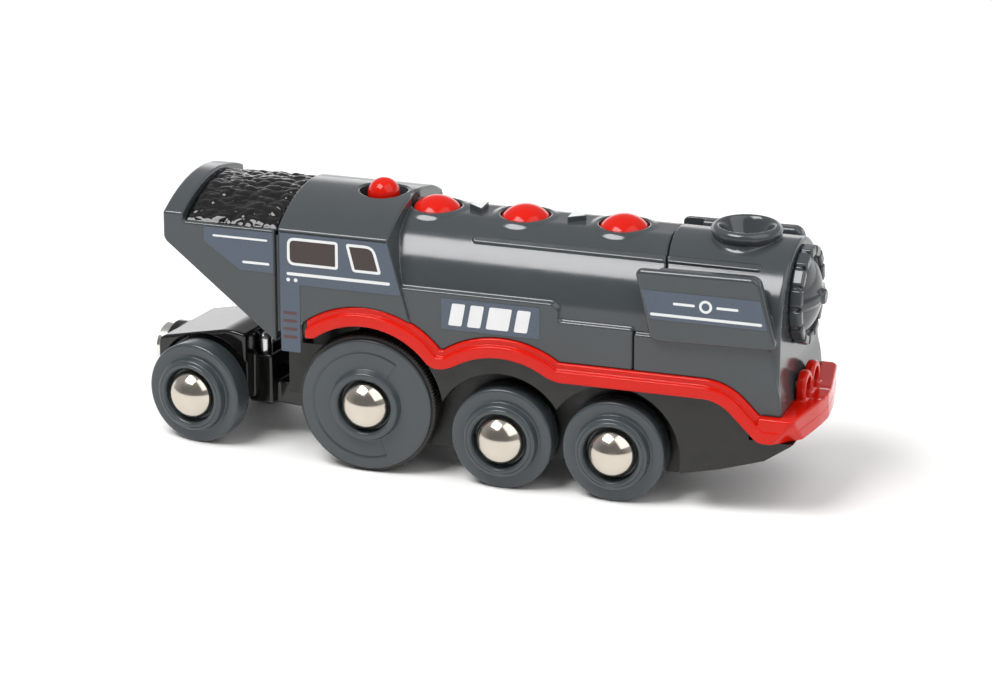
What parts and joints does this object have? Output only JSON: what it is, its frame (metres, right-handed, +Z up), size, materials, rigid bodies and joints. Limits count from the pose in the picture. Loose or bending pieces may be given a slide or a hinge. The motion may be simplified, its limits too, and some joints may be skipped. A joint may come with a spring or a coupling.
{
  "type": "toy steam locomotive",
  "caption": "Battery toy steam locomotive for wooden rail, with a geared driving wheelset, free wheelsets, press buttons and a swivelling magnetic rear truck.",
  "frame": {"origin": "On the surface the wheels stand on, on the centre line, 68.6 mm from the rear coupling end and 67.8 mm from the bumper as the truck stands.", "axes": "+X runs forward to the bumper, +Y to the left side of the locomotive, +Z up."},
  "size_m": [0.1369, 0.0417, 0.0543],
  "materials": {
    "body_grey": "satin moulded",
    "wheel_grey": "semi-gloss moulded",
    "red_plastic": "gloss moulded",
    "black_plastic": "satin moulded",
    "truck_black": "gloss moulded",
    "coal_black": "gloss, lumpy",
    "label_film": "printed film",
    "lamp_lens": "polished",
    "led_plastic": "polished",
    "cell_wrap": "printed sleeve",
    "nickel_steel": "nickel plated",
    "gearbox_black": "moulded",
    "steel": "plated",
    "motor_can": "drawn can",
    "brass": "cut",
    "gear_nylon": "moulded",
    "board_green": "solder resist",
    "switch_black": "moulded",
    "speaker_black": "moulded with paper cone",
    "tyre_rubber": "ribbed rubber",
    "hub_chrome": "vacuum metallised",
    "magnet_nickel": "nickel plated"
  },
  "bodies": {
    "locomotive": {"chassis_frame": "black_plastic", "running_board": "red_plastic", "rear_shell": "body_grey", "front_shell": "body_grey", "tender_shell": "body_grey", "coal_load": "coal_black", "smokebox_door": "body_grey", "side_labels": "label_film", "lamp_lenses": "lamp_lens", "lamp_leds": "led_plastic", "battery_tray": "black_plastic", "battery_cells": "cell_wrap", "battery_contacts": "nickel_steel", "gearbox_plates": "gearbox_black", "gear_pins": "steel", "drive_motor": "motor_can", "circuit_board": "board_green", "button_switches": "switch_black", "speaker": "speaker_black", "truck_pivot_screw": "steel", "body_screws": "steel", "front_screw": "steel", "gearbox_screw": "steel"},
    "drive_wheelset": {"drive_axle": "steel", "drive_wheels": "wheel_grey", "drive_tyres": "tyre_rubber", "drive_hub_caps": "hub_chrome", "drive_gear": "gear_nylon"},
    "first_reduction": {"first_gear": "gear_nylon"},
    "second_reduction": {"second_gear": "gear_nylon"},
    "motor_rotor": {"motor_pinion": "brass"},
    "middle_wheelset": {"middle_axle": "steel", "middle_wheels": "wheel_grey", "middle_hub_caps": "hub_chrome"},
    "front_wheelset": {"front_axle": "steel", "front_wheels": "wheel_grey", "front_hub_caps": "hub_chrome"},
    "rear_truck": {"truck_frame": "truck_black", "truck_pin": "steel", "coupling_magnet": "magnet_nickel", "magnet_rivet": "nickel_steel"},
    "truck_wheelset": {"truck_axle_rod": "steel", "truck_wheels": "wheel_grey", "truck_hub_caps": "hub_chrome"},
    "forward_key": {"forward_button": "red_plastic"},
    "stop_key": {"stop_button": "red_plastic"},
    "reverse_key": {"reverse_button": "red_plastic"},
    "whistle_key": {"whistle_button": "red_plastic"}
  },
  "joints": [
    {"name": "drive_spin", "type": "hinge", "parent": "locomotive", "child": "drive_wheelset", "pos_m": [-0.0188, 0, 0.01384], "axis": [0, 1, 0], "continuous": true},
    {"name": "first_gear_spin", "type": "hinge", "parent": "locomotive", "child": "first_reduction", "pos_m": [-0.01454, 0.00275, 0.02186], "axis": [0, 1, 0], "continuous": true},
    {"name": "second_gear_spin", "type": "hinge", "parent": "locomotive", "child": "second_reduction", "pos_m": [-0.00565, 0.00455, 0.02545], "axis": [0, 1, 0], "continuous": true},
    {"name": "motor_spin", "type": "hinge", "parent": "locomotive", "child": "motor_rotor", "pos_m": [-0.00111, 0.00545, 0.03331], "axis": [0, 1, 0], "continuous": true},
    {"name": "middle_spin", "type": "hinge", "parent": "locomotive", "child": "middle_wheelset", "pos_m": [0.0082, 0, 0.01], "axis": [0, 1, 0], "continuous": true},
    {"name": "front_spin", "type": "hinge", "parent": "locomotive", "child": "front_wheelset", "pos_m": [0.0302, 0, 0.01], "axis": [0, 1, 0], "continuous": true},
    {"name": "truck_swivel", "type": "hinge", "parent": "locomotive", "child": "rear_truck", "pos_m": [-0.0324, 0, 0.0095], "axis": [0, 0, 1], "range_deg": [-14.5, 35.5]},
    {"name": "truck_spin", "type": "hinge", "parent": "rear_truck", "child": "truck_wheelset", "pos_m": [-0.05354, 0.00392, 0.01], "axis": [0.1822, 0.9833, 0], "continuous": true},
    {"name": "whistle_press", "type": "slide", "parent": "locomotive", "child": "whistle_key", "axis": [0, 0, -1], "range_m": [0, 0.001], "stiffness_N_per_m": 1200, "springref_m": -0.0002},
    {"name": "reverse_press", "type": "slide", "parent": "locomotive", "child": "reverse_key", "axis": [0, 0, -1], "range_m": [0, 0.001], "stiffness_N_per_m": 1200, "springref_m": -0.0002},
    {"name": "stop_press", "type": "slide", "parent": "locomotive", "child": "stop_key", "axis": [0, 0, -1], "range_m": [0, 0.001], "stiffness_N_per_m": 1200, "springref_m": -0.0002},
    {"name": "forward_press", "type": "slide", "parent": "locomotive", "child": "forward_key", "axis": [0, 0, -1], "range_m": [0, 0.001], "stiffness_N_per_m": 1200, "springref_m": -0.0002}
  ],
  "couplings": [
    {"joint": "first_gear_spin", "follows": "drive_spin", "ratio": -2.6},
    {"joint": "second_gear_spin", "follows": "drive_spin", "ratio": 7.28},
    {"joint": "motor_spin", "follows": "drive_spin", "ratio": -18.928}
  ]
}
